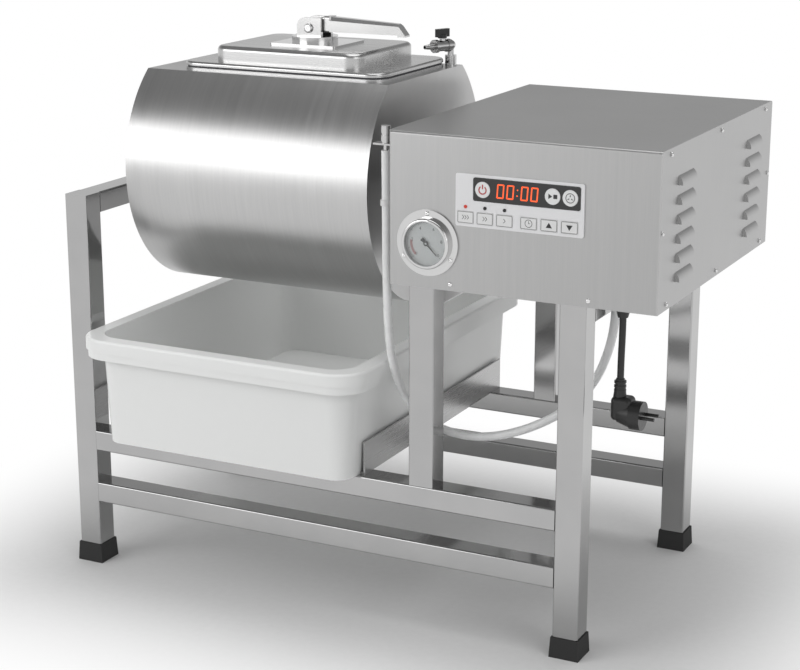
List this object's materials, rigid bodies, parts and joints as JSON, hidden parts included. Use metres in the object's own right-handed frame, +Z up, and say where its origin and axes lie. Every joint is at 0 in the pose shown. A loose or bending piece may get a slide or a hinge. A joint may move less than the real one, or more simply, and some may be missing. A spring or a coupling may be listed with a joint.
{
  "type": "meat vacuum tumbler",
  "caption": "Drum on a square-tube stand that turns in a bearing and a geared control box, with a sealed lid, cam lever, vacuum valve, gauge, keypad, hose and a slide-in catch tub.",
  "frame": {"origin": "on the floor under the middle of the whole machine", "axes": "+Z up, +X along the drum's axis towards the control box, -Y towards the front with the keypad"},
  "size_m": [0.9532, 0.624, 0.8485],
  "materials": {
    "polished_tube": "mirror polished stainless tube",
    "stainless_strip": "cold rolled stainless strip",
    "foot_rubber": "matt black rubber",
    "bearing_iron": "painted cast housing",
    "machined_steel": "machined steel",
    "box_sheet": "vertically brushed stainless sheet",
    "drum_sheet": "stainless sheet brushed round the drum",
    "lid_steel": "satin pressed stainless",
    "gasket_rubber": "dark silicone",
    "valve_metal": "nickel plated brass",
    "black_plastic": "moulded black plastic",
    "cord_jacket": "black cord jacket",
    "clear_hose": "milky clear tube",
    "clip_plastic": "white plastic",
    "tub_plastic": "white moulded plastic",
    "panel_film": "printed film",
    "window_film": "smoked film",
    "white_keys": "printed white film",
    "grey_keys": "printed pale film",
    "lamp_lens": "coloured lens",
    "gauge_steel": "polished steel",
    "dial_face": "white printed dial",
    "needle_black": "black lacquer",
    "gauge_window": "flat clear glass",
    "motor_paint": "grey machine paint",
    "bronze": "cast bronze",
    "pump_metal": "cast aluminium",
    "circuit_board": "circuit board"
  },
  "bodies": {
    "frame_and_box": {"left_posts": "polished_tube", "mid_posts": "polished_tube", "right_posts": "polished_tube", "upper_rails": "polished_tube", "lower_rails": "polished_tube", "bearing_rail": "polished_tube", "box_support_rails": "polished_tube", "tub_guides": "stainless_strip", "rubber_feet": "foot_rubber", "bearing_housing": "bearing_iron", "bearing_bolts": "machined_steel", "box_base_plate": "box_sheet", "box_housing": "box_sheet", "louvred_side_cover": "box_sheet", "housing_screws": "machined_steel", "membrane_panel": "panel_film", "display_window": "window_film", "status_lamps": "lamp_lens", "gauge_case": "gauge_steel", "gauge_dial": "dial_face", "gauge_glass": "gauge_window", "motor_housing": "motor_paint", "gearbox_housing": "motor_paint", "vacuum_pump": "pump_metal", "control_board": "circuit_board", "cord_gland": "black_plastic", "power_cord": "cord_jacket", "power_plug": "black_plastic", "vacuum_hose": "clear_hose", "hose_coupler": "valve_metal", "hose_holder": "stainless_strip", "hose_clip": "clip_plastic", "hose_fitting": "machined_steel"},
    "drum": {"drum_shell": "drum_sheet", "drum_ends": "drum_sheet", "drum_baffles": "drum_sheet", "hatch_frame": "drum_sheet", "stub_shaft": "machined_steel", "bearing_ring": "machined_steel", "drive_hub": "machined_steel", "worm_wheel": "bronze", "vacuum_valve": "valve_metal"},
    "lid": {"drum_lid": "lid_steel", "lid_gasket": "gasket_rubber", "lever_bracket": "lid_steel", "lever_bolt": "machined_steel"},
    "lever": {"cam_lever": "lid_steel"},
    "valve_handle": {"valve_handle": "black_plastic"},
    "motor_rotor": {"motor_shaft": "machined_steel"},
    "needle": {"gauge_needle": "needle_black"},
    "tub": {"tub": "tub_plastic"},
    "power_key": {"power_key": "white_keys"},
    "start_stop_key": {"start_stop_key": "white_keys"},
    "vacuum_key": {"vacuum_key": "white_keys"},
    "fast_key": {"fast_key": "grey_keys"},
    "medium_key": {"medium_key": "grey_keys"},
    "slow_key": {"slow_key": "grey_keys"},
    "timer_key": {"timer_key": "grey_keys"},
    "up_key": {"up_key": "grey_keys"},
    "down_key": {"down_key": "grey_keys"}
  },
  "joints": [
    {"name": "drum_spin", "type": "hinge", "parent": "frame_and_box", "child": "drum", "pos_m": [0, -0.0105, 0.622], "axis": [1, 0, 0], "continuous": true},
    {"name": "motor_spin", "type": "hinge", "parent": "frame_and_box", "child": "motor_rotor", "pos_m": [0.15463, 0, 0.5796], "axis": [0, 1, 0], "continuous": true},
    {"name": "lid_slide_off", "type": "slide", "parent": "drum", "child": "lid", "axis": [-0.9613, 0, 0.2756], "range_m": [0, 0.12]},
    {"name": "lever_swing", "type": "hinge", "parent": "lid", "child": "lever", "pos_m": [-0.17087, -0.0105, 0.8305], "axis": [0, -1, 0], "range_deg": [0, 100]},
    {"name": "valve_turn", "type": "hinge", "parent": "drum", "child": "valve_handle", "pos_m": [-0.00279, 0.08435, 0.82], "axis": [0, 0, 1], "range_deg": [0, 90]},
    {"name": "needle_sweep", "type": "hinge", "parent": "frame_and_box", "child": "needle", "pos_m": [0.13962, -0.262, 0.578], "axis": [0, -1, 0], "range_deg": [0, 270], "stiffness_Nm_per_rad": 0.0008},
    {"name": "tub_slide", "type": "slide", "parent": "frame_and_box", "child": "tub", "axis": [0, -1, 0], "range_m": [0, 0.45]},
    {"name": "power_press", "type": "slide", "parent": "frame_and_box", "child": "power_key", "axis": [0, 1, 0], "range_m": [0, 0.0004], "stiffness_N_per_m": 1200},
    {"name": "start_stop_press", "type": "slide", "parent": "frame_and_box", "child": "start_stop_key", "axis": [0, 1, 0], "range_m": [0, 0.0004], "stiffness_N_per_m": 1200},
    {"name": "vacuum_press", "type": "slide", "parent": "frame_and_box", "child": "vacuum_key", "axis": [0, 1, 0], "range_m": [0, 0.0004], "stiffness_N_per_m": 1200},
    {"name": "fast_press", "type": "slide", "parent": "frame_and_box", "child": "fast_key", "axis": [0, 1, 0], "range_m": [0, 0.0004], "stiffness_N_per_m": 1200},
    {"name": "medium_press", "type": "slide", "parent": "frame_and_box", "child": "medium_key", "axis": [0, 1, 0], "range_m": [0, 0.0004], "stiffness_N_per_m": 1200},
    {"name": "slow_press", "type": "slide", "parent": "frame_and_box", "child": "slow_key", "axis": [0, 1, 0], "range_m": [0, 0.0004], "stiffness_N_per_m": 1200},
    {"name": "timer_press", "type": "slide", "parent": "frame_and_box", "child": "timer_key", "axis": [0, 1, 0], "range_m": [0, 0.0004], "stiffness_N_per_m": 1200},
    {"name": "up_press", "type": "slide", "parent": "frame_and_box", "child": "up_key", "axis": [0, 1, 0], "range_m": [0, 0.0004], "stiffness_N_per_m": 1200},
    {"name": "down_press", "type": "slide", "parent": "frame_and_box", "child": "down_key", "axis": [0, 1, 0], "range_m": [0, 0.0004], "stiffness_N_per_m": 1200}
  ],
  "couplings": [
    {"joint": "motor_spin", "follows": "drum_spin", "ratio": 30}
  ]
}
